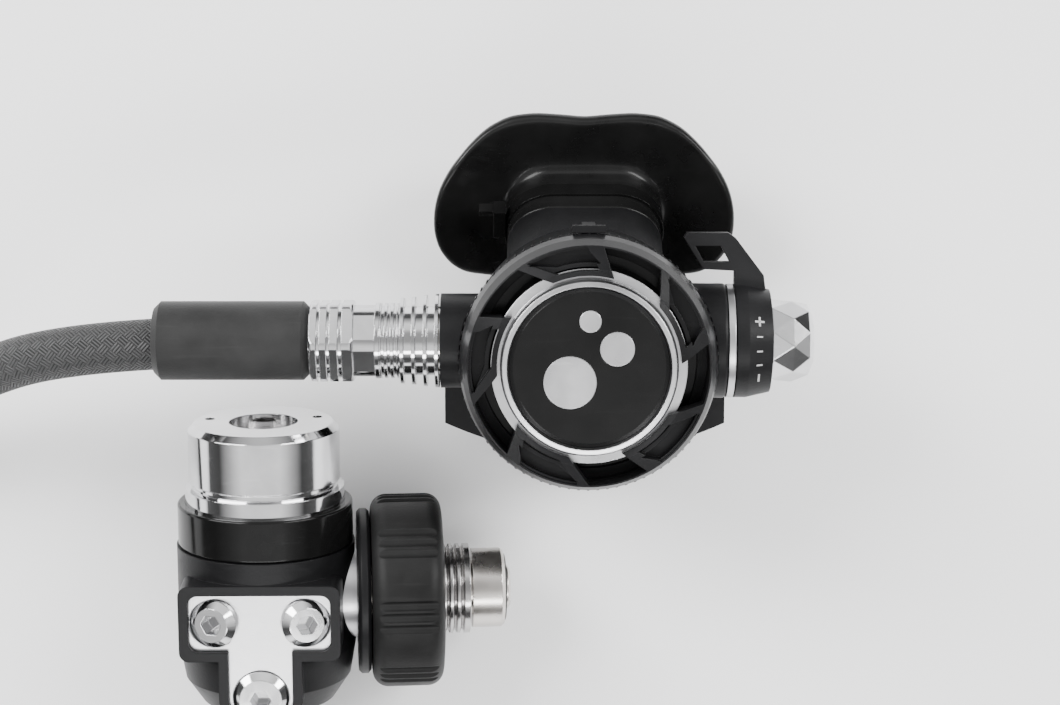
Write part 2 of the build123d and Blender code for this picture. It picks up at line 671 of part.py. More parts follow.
def mouthpiece():
    sleeve = oval(NECK_W, NECK_H, NECK_END + 0.1, SHIELD_AT + 2)
    groove = oval(NECK_W + 4, NECK_H + 4, CLAMP_AT, CLAMP_AT + CLAMP_W)
    groove -= oval(NECK_W - 1.6, NECK_H - 1.6, CLAMP_AT, CLAMP_AT + CLAMP_W)
    sheet = Rot(X=90) * extrude(Circle(SHIELD_BEND) - Circle(SHIELD_BEND - SHIELD_T), 40, both=True)
    sheet = Location((0, 0, SHIELD_AT + SHIELD_BEND)) * sheet
    shield = sheet & extrude(shield_outline(), SHIELD_AT + 40)
    bites = None
    for side in (-1, 1):
        web = block(9, 4.2, BITE_LENGTH, x=side * BITE_X, y=-1, z=BITE_START + BITE_LENGTH / 2)
        lug = block(9, 9, 3.6, x=side * BITE_X, y=-1, z=BITE_START + BITE_LENGTH - 1.8)
        tab = web + fillet(lug.edges().filter_by(Axis.Z), 2)
        bites = tab if bites is None else bites + tab
    socket = oval(NECK_W - 2 * NECK_SKIN + 0.1, NECK_H - 2 * NECK_SKIN + 0.1, NECK_END - 1, SPIGOT_END + 0.1)
    passage = oval(PASSAGE_W, PASSAGE_H, SPIGOT_END - 1, SHIELD_AT + 12)
    return sleeve - groove + shield + bites - socket - passage


def mouthpiece_clamp():
    """Strap round the mouthpiece neck, with its latch on one side."""
    high = CLAMP_AT + CLAMP_W - 0.1
    strap = oval(NECK_W - 1.4 + 2 * CLAMP_T, NECK_H - 1.4 + 2 * CLAMP_T, CLAMP_AT + 0.1, high)
    strap -= oval(NECK_W - 1.4, NECK_H - 1.4, CLAMP_AT, high + 1)
    latch = block(3.2, 8.0, CLAMP_W + 0.8, x=-(NECK_W / 2 + CLAMP_T + 0.6), y=-3, z=CLAMP_AT + CLAMP_W / 2)
    tail = block(6.0, 1.3, CLAMP_W - 1, x=-(NECK_W / 2 + CLAMP_T + 3.0), y=-6.2, z=CLAMP_AT + CLAMP_W / 2)
    return strap + latch + tail


# ---- Hose and its ends


def hose_stem_second():
    """Swivel stem: shoulder on the hose, collar held by the nut, nose in the inlet."""
    stem = turned(
        (0, SHOULDER - FACE), (HOSE_R, SHOULDER - FACE), (HOSE_R, SHOULDER - 0.2),
        (HOSE_STEM_R, SHOULDER - 0.2), (HOSE_STEM_R, SHOULDER + 3.1),
        (5.8, SHOULDER + 3.1), (5.8, SHOULDER + 4.4), (HOSE_STEM_R, SHOULDER + 4.4),
        (HOSE_STEM_R, SHOULDER + 7.5), (3.2, SHOULDER + 7.5), (3.2, SHOULDER + 1), (0, SHOULDER + 1),
    )
    return stem - tube(HOSE_STEM_R + 1, HOSE_STEM_R - 0.8, SHOULDER + 5.5, SHOULDER + 6.5)


def ferrule(face, away):
    """Crimped sleeve over the last of the hose, from its end face away from the fitting."""
    near, far = sorted((face - away * FACE * 0.8, face + away * (FERRULE_LENGTH - FACE)))
    sleeve = tube(FERRULE_R, HOSE_R + SNUG, near, far)
    for place in (0.3, 0.55, 0.8):
        middle = near + place * (far - near)
        sleeve -= tube(FERRULE_R + 1, FERRULE_R - 0.25, middle - 0.5, middle + 0.5)
    return sleeve


def hose_ferrules():
    return [BARREL * ferrule(SHOULDER - FACE, -1), PORT * ferrule(FIRST_FACE, 1)]


def hose_protector():
    """Rubber sleeve over the ferrule and the first stretch of hose."""
    high = SHOULDER - GAP
    low = high - PROTECTOR_LENGTH
    inner = HOSE_R + 0.2
    body = rod(PROTECTOR_R, low, high)
    body = chamfer(body.edges().group_by(Axis.Z)[0] + body.edges().group_by(Axis.Z)[-1], 1.6)
    pocket = rod(FERRULE_R + SNUG, high - FERRULE_LENGTH - 2, high + 1)
    return body - rod(inner, low - 1, high + 1) - pocket


def hose_end_first():
    """Hexagon and thread in the first stage's port."""
    return (
        hexagon(14.0, PORT_BOSS + 0.1, PORT_BOSS + FIRST_HEX)
        + rod(PORT_R - SNUG, 2.0, PORT_BOSS + 0.1)
        + rod(HOSE_R, PORT_BOSS + FIRST_HEX, FIRST_FACE)
        - rod(2.4, 0, FIRST_FACE - 3)
    )


PORT_PLACE = STAGE1 * Location((0, 0, -24.0))
PORT = Location(PORT_PLACE.position) * Rot(X=90)
HOSE_START = (BARREL * Location((0, 0, SHOULDER - FACE))).position
HOSE_END = (PORT * Location((0, 0, FIRST_FACE))).position
AFTER_START = (BARREL * Location((0, 0, SHOULDER - FACE - STRAIGHT_OUT))).position
BEFORE_END = (PORT * Location((0, 0, FIRST_FACE + STRAIGHT_IN))).position


def hose_route():
    middle = [Vector(x - MIDDLE_X, y - MIDDLE_Y, z) for x, y, z in ROUTE]
    return [HOSE_START, AFTER_START, *middle, BEFORE_END, HOSE_END]


def hose_arcs(points):
    """Radius at each corner: as large as its two runs allow."""
    radii = []
    for before, here, after in zip(points, points[1:], points[2:]):
        arrive = here - before
        leave = after - here
        turn = math.radians(arrive.get_angle(leave))
        radii.append(0.45 * min(arrive.length, leave.length) / math.tan(turn / 2))
    return radii


def hose():
    points = hose_route()
    radii = hose_arcs(points)
    line = FilletPolyline(*points, radius=radii)
    solid = sweep(Plane(origin=line @ 0, z_dir=line % 0) * Circle(HOSE_R), path=line)
    straight = math.pi * HOSE_R ** 2 * line.length
    print("hose radii", [round(radius) for radius in radii], "length", round(line.length, 1))
    print("hose runs", [round((b - a).length) for a, b in zip(points, points[1:])])
    print("hose volume over section times length", round(solid.volume / straight, 4))
    return solid


# ---- First stage: body

def port_plate_outline(inset):
    """T of the exposed face: a bar with a leg that ends in a half circle."""
    bar = RectangleRounded(PLATE_W - 2 * inset, PLATE_H - 2 * inset, 2.5)
    bar = Location((0, PLATE_TOP - PLATE_H / 2)) * bar
    leg = Rectangle(2 * (LEG_R - inset), PLATE_TOP - 4 + LEG_LOW)
    leg = Location((0, (PLATE_TOP - 4 - LEG_LOW) / 2)) * leg
    end = Location((0, -LEG_LOW)) * Circle(LEG_R - inset)
    return bar + leg + end


def plate_solid(inset, low, high):
    """The T drawn on the body's front, between two distances from the body axis."""
    return Location((0, -low, 0)) * extrude(Plane.XZ * port_plate_outline(inset), high - low)


def plug_frames():
    """Each front plug: its radius and its frame, z pointing out of the port."""
    for x, z, radius, turn in PLUG_SEATS:
        yield radius, Location((x, -PLATE_Y, z)) * Rot(Z=turn) * Rot(X=90)


def body_first():
    core = rod(BODY_R, -BODY_BOTTOM, BAND_LOW - 0.1)
    core = fillet(core.edges().sort_by(Axis.Z)[0], 7.0)
    core += Rot(Z=-PLATE_TURN) * plate_solid(SNUG, BODY_R - 8, PLATE_Y)
    core += Rot(Y=90) * rod(SLEEVE_R + 1.5, 0, COLLAR_X)
    boss = STAGE1.inverse() * PORT * rod(9.0, -4, PORT_BOSS)
    core += boss
    core -= STAGE1.inverse() * PORT * rod(PORT_R, -2, PORT_BOSS + 1)
    core -= rod(14.0, 6.0, BAND_LOW) + rod(4.2, -14.0, 7.0)
    core -= Rot(Y=90) * rod(STEM_SHAFT_R + SNUG, 10, COLLAR_X + 1)
    core -= Rot(Y=90) * rod(2.0, 0, 12)
    for radius, frame in plug_frames():
        core -= Rot(Z=-PLATE_TURN) * frame * rod(radius - 1.4, -6.0, 4.0)
        core -= Rot(Z=-PLATE_TURN) * frame * rod(radius + SNUG, -1.2, 4.0)
    for turn in BACK_PORTS:
        core -= Rot(Z=turn) * Rot(X=90) * rod(PLUG_R - 1.4, BODY_R - 6, BODY_R + 6)
    return core


def shroud():
    wall_in = BODY_R + SNUG
    bottom = SHROUD_BOTTOM
    outer = turned(
        (0, -bottom), (11, -bottom), (17, -bottom + 3), (21, -bottom + 9), (SHROUD_R, -bottom + 17),
        (SHROUD_R, BAND_LOW - 0.1), (0, BAND_LOW - 0.1),
    )
    inside = rod(wall_in, -BODY_BOTTOM - SNUG, BAND_LOW)
    inside = fillet(inside.edges().sort_by(Axis.Z)[0], 7.0)
    skin = outer + Rot(Z=-PLATE_TURN) * plate_solid(-RIM_T, SHROUD_R - 12, PLATE_Y + 1.4)
    skin -= inside
    skin -= Rot(Z=-PLATE_TURN) * plate_solid(0, BODY_R - 9, PLATE_Y + 4)
    skin -= Rot(Y=90) * rod(SLEEVE_R + 1.6, 0, COLLAR_X + 3)
    skin -= STAGE1.inverse() * PORT * rod(9.1, -4, PORT_BOSS + 6)
    for turn in BACK_PORTS:
        skin -= Rot(Z=turn) * Rot(X=90) * rod(PLUG_R + 0.4, BODY_R - 4, SHROUD_R + 6)
    return skin


def label_band():
    ring = tube(BAND_R, CAP_LOW_R + SNUG, BAND_LOW, BAND_HIGH)
    return fillet(ring.edges().filter_by(GeomType.CIRCLE).group_by(SortBy.RADIUS)[-1], 0.6)


def spring_cap():
    shell = turned(
        (0, BAND_LOW), (CAP_LOW_R, BAND_LOW), (CAP_LOW_R, CAP_GROOVE_Z - 1),
        (CAP_R - 0.8, CAP_GROOVE_Z - 0.8),
        (CAP_R - 0.8, CAP_GROOVE_Z + 0.5), (CAP_R, CAP_GROOVE_Z + 0.8), (CAP_R, CAP_TOP - 1.6),
        (CAP_R - 1.6, CAP_TOP), (0, CAP_TOP),
    )
    shell -= rod(17.6, BAND_LOW - 1, BAND_LOW + 3.2) + rod(SPRING_BORE, BAND_LOW, CAP_TOP - 6)
    shell -= rod(CAP_HOLE_R, BAND_LOW, CAP_TOP + 1)
    for side in (-1, 1):
        shell -= Location((side * 13.5, 4.0, CAP_TOP - 3)) * extrude(Circle(1.3), 4)
    return shell


def adjuster():
    """Threaded plug in the cap's hole that loads the main spring."""
    plug = rod(CAP_HOLE_R - SNUG, CAP_TOP - 14, CAP_TOP - 3.5)
    plug += rod(SPRING_BORE - 0.5, CAP_TOP - 14, CAP_TOP - 12)
    return plug - hexagon(6.0, CAP_TOP - 9, CAP_TOP)


def main_spring():
    return coil(MAIN_COIL, PAD_TOP + 0.1, CAP_TOP - 14.1)


def spring_pad():
    return rod(SPRING_BORE - 0.6, DIAPHRAGM_LOW + 1.4, PAD_TOP) + rod(5.0, PAD_TOP - 0.1, PAD_TOP + 3)


def diaphragm_first():
    return rod(17.4, DIAPHRAGM_LOW, DIAPHRAGM_LOW + 1.2)


def clamp_ring_first():
    """Ring that presses the diaphragm's edge on the body."""
    return tube(17.4, SPRING_BORE + 1.2, DIAPHRAGM_LOW + 1.3, DIAPHRAGM_LOW + 2.7)


def lifter_pin():
    """Pin between the diaphragm and the high-pressure poppet."""
    return rod(1.5, 3.0, DIAPHRAGM_LOW - 1.7) + rod(8.0, DIAPHRAGM_LOW - 1.8, DIAPHRAGM_LOW - 0.2)


def high_pressure_seat():
    return turned((1.9, -1.0), (4.15, -1.0), (4.15, 2.6), (1.9, 2.6), (1.9, 0.6), (2.5, -0.6))


def high_pressure_poppet():
    return turned(
        (0, -7), (2.0, -7), (2.0, -3.4), (3.4, -3.4), (3.4, -1.1), (1.6, -1.1), (1.2, 2.9), (0, 2.9)
    )


def high_pressure_spring():
    return coil(PRESSURE_COIL, -13.9, -3.5)


def port_plug(radius):
    """Conical-faced plug with a hexagonal key hole; z points out of the port."""
    plug = turned((0, -1.0), (radius - 0.1, -1.0), (radius - 0.1, 0.6), (radius - 1.8, 2.2), (0, 2.2))
    plug += rod(radius - 1.5, -5.0, -0.9)
    return plug - hexagon(HEX_KEY, -2.0, 3.0)


def front_plugs():
    return [Rot(Z=-PLATE_TURN) * frame * port_plug(radius) for radius, frame in plug_frames()]


def back_plugs():
    plugs = []
    for turn in BACK_PORTS:
        outside = Rot(Z=turn) * Rot(X=90) * Location((0, 0, BODY_R + 1.1))
        plugs.append(outside * port_plug(PLUG_R - SNUG))
    return plugs


# ---- First stage: DIN connector (z: from the body axis toward the nose)

def din_collar():
    disc = tube(COLLAR_R, STEM_SHAFT_R + SNUG, COLLAR_X + 0.1, WHEEL_X - GAP)
    return chamfer(disc.edges().filter_by(GeomType.CIRCLE).group_by(SortBy.RADIUS)[-1], 0.8)


def handwheel():
    low = WHEEL_X
    high = WHEEL_X + WHEEL_W
    wheel = fillet(rod(WHEEL_R, low, high).edges(), 4.0)
    wheel -= rod(SLEEVE_R + SNUG, low - 1, high + 1)
    wheel -= tube(COLLAR_R - 3, SLEEVE_R + 3, high - 3, high + 1)
    for index in range(WHEEL_LOBES):
        for side in (-7.0, 0.0, 7.0):
            turn = index * 360 / WHEEL_LOBES + side
            wheel -= Rot(Z=turn) * Location((WHEEL_R + 0.5, 0, low - 1)) * extrude(Circle(1.3), WHEEL_W + 2)
    return wheel


def threaded_sleeve():
    """Sleeve fixed in the handwheel; its front carries the G 5/8 thread as separate crests."""
    low = WHEEL_X
    start = WHEEL_X + WHEEL_W
    end = start + DIN_THREAD
    sleeve = tube(SLEEVE_R, STEM_SHAFT_R + RUN, low, start + 0.1)
    sleeve += tube(DIN_THREAD_R, STEM_SHAFT_R + RUN, start, end)
    depth = 1.1
    half = 0.62
    place = start + DIN_PITCH * 0.7
    while place + half < end:
        groove = turned(
            (DIN_THREAD_R - depth, place), (DIN_THREAD_R + 0.2, place - half),
        (DIN_THREAD_R + 0.2, place + half),
        )
        sleeve -= groove
        place += DIN_PITCH
    return sleeve


def din_stem():
    """Hollow bolt that holds the handwheel on the body and ends in the sealing nose."""
    stem = rod(STEM_SHAFT_R, 12, NOSE_FROM) + rod(NOSE_R, NOSE_FROM, NOSE_TO)
    stem = chamfer(stem.edges().group_by(Axis.Z)[-1], 0.8)
    stem -= rod(PISTON_R + RUN, SPRING_SEAT, NOSE_TO + 1)
    stem -= rod(3.6, FILTER_SEAT, SPRING_SEAT + 1) + rod(2.0, 10, FILTER_SEAT + 1)
    return stem - tube(9.0, 7.0, NOSE_TO - 1.5, NOSE_TO + 1)


def nose_o_ring():
    return round_ring(8.0, 0.95, NOSE_TO - 0.5)


def closing_piston():
    """Spring-loaded plug in the nose that shuts the inlet when the cylinder is off."""
    end = NOSE_TO + PISTON_OUT
    piston = turned(
        (0, NOSE_TO - 8), (PISTON_R, NOSE_TO - 8), (PISTON_R, end - 0.6), (PISTON_R - 0.8, end), (1.5, end),
        (1.5, end - 4), (0, end - 4),
    )
    for turn in (0, 90):
        piston -= Rot(Z=turn) * block(2 * PISTON_R + 1, 1.4, 2.0, z=NOSE_TO - 7.5)
    return piston


def closing_spring():
    return coil(NOSE_COIL, SPRING_SEAT + 0.1, NOSE_TO - 8.1)


def inlet_filter():
    low = FILTER_SEAT + 0.5
    return turned((0, low), (3.5, low), (3.5, low + 1.5), (2.6, SPRING_SEAT), (0, SPRING_SEAT))


# ---- Seals that come in sets

def inlet_o_rings():
    """Two rings on the valve barrel and one on the hose's swivel stem."""
    rings = [round_ring(BARREL_END_R - 0.75, 0.7, groove) for groove in BARREL_GROOVES]
    return rings + [round_ring(HOSE_STEM_R - 0.3, 0.45, SHOULDER + 6.0)]


# ---- Every node: its frame and its solid, or its group of separate solids

NODES = {
    "case": (STAGE2, case),
    "front_cover": (STAGE2, front_cover),
    "cover_lock_tab": (STAGE2, cover_lock_tab),
    "purge_button": (STAGE2, purge_button),
    "purge_rim": (STAGE2, purge_rim),
    "purge_emblem": (STAGE2, purge_emblem),
    "purge_spring": (STAGE2, purge_spring),
    "diaphragm": (STAGE2, diaphragm),
    "diaphragm_plate": (STAGE2, diaphragm_plate),
    "diaphragm_ring": (STAGE2, diaphragm_ring),
    "demand_lever": (STAGE2, demand_lever),
    "lever_pin": (STAGE2, lever_pin),
    "valve_barrel": (BARREL, valve_barrel),
    "inlet_o_rings": (BARREL, inlet_o_rings),
    "inlet_crown": (BARREL, inlet_crown),
    "poppet": (BARREL, poppet),
    "poppet_seat": (BARREL, poppet_seat),
    "poppet_spring": (BARREL, poppet_spring),
    "adjusting_screw": (BARREL, adjusting_screw),
    "knob_retainer": (BARREL, knob_retainer),
    "effort_knob": (BARREL, effort_knob),
    "venturi_trim_ring": (BARREL, venturi_trim_ring),
    "venturi_lever": (BARREL, venturi_lever),
    "venturi_vane": (BARREL, venturi_vane),
    "heat_exchanger": (BARREL, heat_exchanger),
    "inlet_fitting": (BARREL, inlet_fitting),
    "exhaust_valve": (STAGE2, exhaust_valve),
    "exhaust_tee": (STAGE2, exhaust_tee),
    "mouthpiece": (MOUTH, mouthpiece),
    "mouthpiece_clamp": (MOUTH, mouthpiece_clamp),
    "hose_nut": (BARREL, hose_nut),
    "hose_stem_second": (BARREL, hose_stem_second),
    "hose_ferrules": (Location(), hose_ferrules),
    "hose_protector": (BARREL, hose_protector),
    "hose": (Location(), hose),
    "hose_end_first": (PORT, hose_end_first),
    "first_stage_body": (STAGE1, body_first),
    "first_stage_shroud": (STAGE1, shroud),
    "label_band": (STAGE1, label_band),
    "spring_cap": (STAGE1, spring_cap),
    "adjuster": (STAGE1, adjuster),
    "main_spring": (STAGE1, main_spring),
    "spring_pad": (STAGE1, spring_pad),
    "first_stage_diaphragm": (STAGE1, diaphragm_first),
    "diaphragm_clamp_ring": (STAGE1, clamp_ring_first),
    "lifter_pin": (STAGE1, lifter_pin),
    "high_pressure_seat": (STAGE1, high_pressure_seat),
    "high_pressure_poppet": (STAGE1, high_pressure_poppet),
    "high_pressure_spring": (STAGE1, high_pressure_spring),
    "front_port_plugs": (STAGE1, front_plugs),
    "back_port_plugs": (STAGE1, back_plugs),
    "din_collar": (DIN, din_collar),
    "din_handwheel": (DIN, handwheel),
    "din_threaded_sleeve": (DIN, threaded_sleeve),
    "din_stem": (DIN, din_stem),
    "din_o_ring": (DIN, nose_o_ring),
    "closing_piston": (DIN, closing_piston),
    "closing_spring": (DIN, closing_spring),
    "inlet_filter": (DIN, inlet_filter),
}


def write_parts():
    os.makedirs("parts", exist_ok=True)
    for name, (frame, make) in NODES.items():
        made = make()
        pieces = made if isinstance(made, list) else [made]
        solids = [solid for piece in pieces for solid in (frame * piece).solids()]
        shape = solids[0] if len(solids) == 1 else Compound(children=solids)
        export_step(shape, f"parts/{name}.step")


write_parts()
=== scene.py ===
import json
import math

import bmesh
import bpy
from mathutils import Matrix, Vector


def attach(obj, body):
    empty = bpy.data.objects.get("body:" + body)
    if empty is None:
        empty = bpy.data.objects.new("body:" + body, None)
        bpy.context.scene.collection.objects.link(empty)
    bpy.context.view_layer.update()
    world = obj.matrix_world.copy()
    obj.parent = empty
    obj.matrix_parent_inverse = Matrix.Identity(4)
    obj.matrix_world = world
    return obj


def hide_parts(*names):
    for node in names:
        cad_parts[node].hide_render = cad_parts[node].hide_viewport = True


bl_info = {
    "name": "Scuba Regulator Set",
    "version": (1, 0, 0),
    "blender": (4, 5, 0),
    "location": "View3D > Sidebar > Regulator",
    "description": "Dresses the regulator set's frame with its soft pieces, finishes, lights and camera",
    "category": "Object",
}

MM = 0.001
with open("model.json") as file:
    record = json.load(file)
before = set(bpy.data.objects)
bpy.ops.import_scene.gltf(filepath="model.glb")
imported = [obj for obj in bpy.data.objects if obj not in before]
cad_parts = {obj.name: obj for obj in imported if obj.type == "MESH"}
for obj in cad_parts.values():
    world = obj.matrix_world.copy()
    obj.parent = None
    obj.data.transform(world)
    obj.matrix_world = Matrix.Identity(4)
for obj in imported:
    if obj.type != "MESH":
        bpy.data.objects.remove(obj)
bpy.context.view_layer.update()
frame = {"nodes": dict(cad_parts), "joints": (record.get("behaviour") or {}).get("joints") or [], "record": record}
JOINTS = {joint["name"]: joint for joint in frame["joints"]}


def joint_axis(name):
    return Vector(JOINTS[name]["axis"]).normalized()


def joint_place(name):
    return Vector(JOINTS[name]["pos_m"])


def frame_matrix(x_axis, z_axis, origin):
    """Matrix of a local frame whose units are millimetres."""
    y_axis = z_axis.cross(x_axis)
    turn = Matrix((x_axis, y_axis, z_axis)).transposed().to_4x4()
    return Matrix.Translation(origin) @ turn @ Matrix.Scale(MM, 4)


# The second stage's frame: x along the barrel to the knob, z out of the purge button.
BARREL_X = -joint_axis("knob_turn")
CAN_Z = -joint_axis("purge_press")
CAN_Y = CAN_Z.cross(BARREL_X)
KNOB_AT = 50.0          # knob joint's place along the barrel from the case centre
BARREL_RISE = 3.0       # barrel axis from the case axis, toward the mouth
CAN_ORIGIN = joint_place("knob_turn") - BARREL_X * KNOB_AT * MM - CAN_Y * BARREL_RISE * MM
CAN = frame_matrix(BARREL_X, CAN_Z, CAN_ORIGIN)
BARREL = frame_matrix(-CAN_Z, BARREL_X, joint_place("knob_turn") - BARREL_X * KNOB_AT * MM)
MOUTH_ANGLE = math.radians(180 + 31.3)
MOUTH = CAN @ Matrix.Translation((0, 8, -8)) @ Matrix.Rotation(MOUTH_ANGLE, 4, "X")


# ---- Mesh helpers

def new_object(name, mesh, material, body):
    piece = bpy.data.objects.new(name, mesh)
    bpy.context.scene.collection.objects.link(piece)
    mesh.materials.append(material)
    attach(piece, body)
    return piece


def smooth(mesh, degrees=180):
    mesh.shade_smooth()
    if degrees < 180:
        mesh.set_sharp_from_angle(angle=math.radians(degrees))


def loft(name, rings, place, caps=False, closed=False):
    """Mesh skin through rings of equal point count, given in a local frame in millimetres."""
    count = len(rings[0])
    points = [place @ Vector(point) for ring in rings for point in ring]
    faces = []
    last = len(rings) if closed else len(rings) - 1
    for r in range(last):
        here = r * count
        above = ((r + 1) % len(rings)) * count
        for n in range(count):
            after = (n + 1) % count
            faces.append((here + n, here + after, above + after, above + n))
    if caps:
        faces.append(tuple(reversed(range(count))))
        faces.append(tuple(range((len(rings) - 1) * count, len(rings) * count)))
    mesh = bpy.data.meshes.new(name)
    mesh.from_pydata(points, [], faces)
    mesh.update()
    return mesh


def fix_normals(mesh):
    made = bmesh.new()
    made.from_mesh(mesh)
    bmesh.ops.remove_doubles(made, verts=made.verts, dist=1e-7)
    bmesh.ops.recalc_face_normals(made, faces=made.faces)
    made.to_mesh(mesh)
    made.free()


def subdivide(piece, levels=1):
    modifier = piece.modifiers.new("Subdivision", "SUBSURF")
    modifier.levels = levels
    modifier.render_levels = levels


# ---- Shader helpers

def node_group(name, inputs, outputs):
    """Empty group with named sockets; inputs are (name, kind, default)."""
    group = bpy.data.node_groups.new(name, "ShaderNodeTree")
    for label, kind, default in inputs:
        socket = group.interface.new_socket(label, in_out="INPUT", socket_type=kind)
        socket.default_value = default
    for label, kind in outputs:
        group.interface.new_socket(label, in_out="OUTPUT", socket_type=kind)
    start = group.nodes.new("NodeGroupInput")
    end = group.nodes.new("NodeGroupOutput")
    return group, start, end


def add(tree, kind, **values):
    """New node; values name its properties."""
    node = tree.nodes.new(kind)
    for key, value in values.items():
        setattr(node, key, value)
    return node


def join(tree, source, target):
    tree.links.new(source, target)


def math_node(tree, operation, first, second=None):
    node = add(tree, "ShaderNodeMath", operation=operation)
    for index, value in enumerate((first, second)):
        if value is None:
            continue
        if isinstance(value, (int, float)):
            node.inputs[index].default_value = value
        else:
            join(tree, value, node.inputs[index])
    return node.outputs[0]


def spread(tree, source, low, high, new_low, new_high):
    node = add(tree, "ShaderNodeMapRange")
    join(tree, source, node.inputs["Value"])
    for label, value in (("From Min", low), ("From Max", high), ("To Min", new_low), ("To Max", new_high)):
        node.inputs[label].default_value = value
    return node.outputs["Result"]


def noise(tree, scale, detail=3.0, rough=0.55, coordinates=None):
    node = add(tree, "ShaderNodeTexNoise")
    node.inputs["Scale"].default_value = scale
    node.inputs["Detail"].default_value = detail
    node.inputs["Roughness"].default_value = rough
    if coordinates is not None:
        join(tree, coordinates, node.inputs["Vector"])
    return node


def surface_group():
    """Moulding grain, handling smudges and fine scratches, shared by every finish."""
    group, start, end = node_group(
        "Handled surface",
        [
            ("Grain Size", "NodeSocketFloat", 900.0),
            ("Roughness Low", "NodeSocketFloat", 0.3),
            ("Roughness High", "NodeSocketFloat", 0.45),
            ("Dark", "NodeSocketColor", (0.01, 0.01, 0.01, 1)),
            ("Light", "NodeSocketColor", (0.02, 0.02, 0.02, 1)),
        ],
        [("Color", "NodeSocketColor"), ("Roughness", "NodeSocketFloat"), ("Height", "NodeSocketFloat")],
    )
    place = add(group, "ShaderNodeTexCoord").outputs["Object"]
    grain = noise(group, 900.0, 2.0, 0.6, place)
    join(group, start.outputs["Grain Size"], grain.inputs["Scale"])
    smudge = noise(group, 55.0, 4.0, 0.6, place)
    stretch = add(group, "ShaderNodeMapping")
    stretch.inputs["Scale"].default_value = (40.0, 700.0, 260.0)
    stretch.inputs["Rotation"].default_value = (0.4, 0.9, 0.7)
    join(group, place, stretch.inputs["Vector"])
    scratch = noise(group, 1.0, 2.0, 0.5, stretch.outputs["Vector"])
    fine = spread(group, scratch.outputs["Fac"], 0.62, 0.72, 0.0, 0.35)
    worn = math_node(group, "ADD", spread(group, smudge.outputs["Fac"], 0.35, 0.7, 0.0, 1.0), fine)
    rough = add(group, "ShaderNodeMapRange")
    join(group, worn, rough.inputs["Value"])
    join(group, start.outputs["Roughness Low"], rough.inputs["To Min"])
    join(group, start.outputs["Roughness High"], rough.inputs["To Max"])
    tint = add(group, "ShaderNodeMix", data_type="RGBA")
    join(group, worn, tint.inputs["Factor"])
    join(group, start.outputs["Dark"], tint.inputs["A"])
    join(group, start.outputs["Light"], tint.inputs["B"])
    join(group, tint.outputs["Result"], end.inputs["Color"])
    join(group, rough.outputs["Result"], end.inputs["Roughness"])
    join(group, grain.outputs["Fac"], end.inputs["Height"])
    return group


def finish(name, group, dark, light, rough, grain=900.0, bump=0.05, metal=0.0, coat=0.0, sheen=0.0, shine=0.14):
    """Material on the shared surface group; rough is its low and high value."""
    material = bpy.data.materials.new(name)
    material.use_nodes = True
    tree = material.node_tree
    shader = tree.nodes["Principled BSDF"]
    shader.inputs["Metallic"].default_value = metal
    shader.inputs["Coat Weight"].default_value = coat
    shader.inputs["Coat Roughness"].default_value = 0.12
    shader.inputs["Sheen Weight"].default_value = sheen
    shader.inputs["Specular IOR Level"].default_value = 0.5 if metal else shine
    handled = add(tree, "ShaderNodeGroup", node_tree=group)
    handled.inputs["Grain Size"].default_value = grain
    handled.inputs["Roughness Low"].default_value = rough[0]
    handled.inputs["Roughness High"].default_value = rough[1]
    handled.inputs["Dark"].default_value = (*dark, 1)
    handled.inputs["Light"].default_value = (*light, 1)
    edge = add(tree, "ShaderNodeBevel", samples=4)
    edge.inputs["Radius"].default_value = 0.00035
    raised = add(tree, "ShaderNodeBump")
    raised.inputs["Strength"].default_value = bump
    raised.inputs["Distance"].default_value = 0.0003
    join(tree, handled.outputs["Height"], raised.inputs["Height"])
    join(tree, edge.outputs["Normal"], raised.inputs["Normal"])
    join(tree, handled.outputs["Color"], shader.inputs["Base Color"])
    join(tree, handled.outputs["Roughness"], shader.inputs["Roughness"])
    join(tree, raised.outputs["Normal"], shader.inputs["Normal"])
    return material


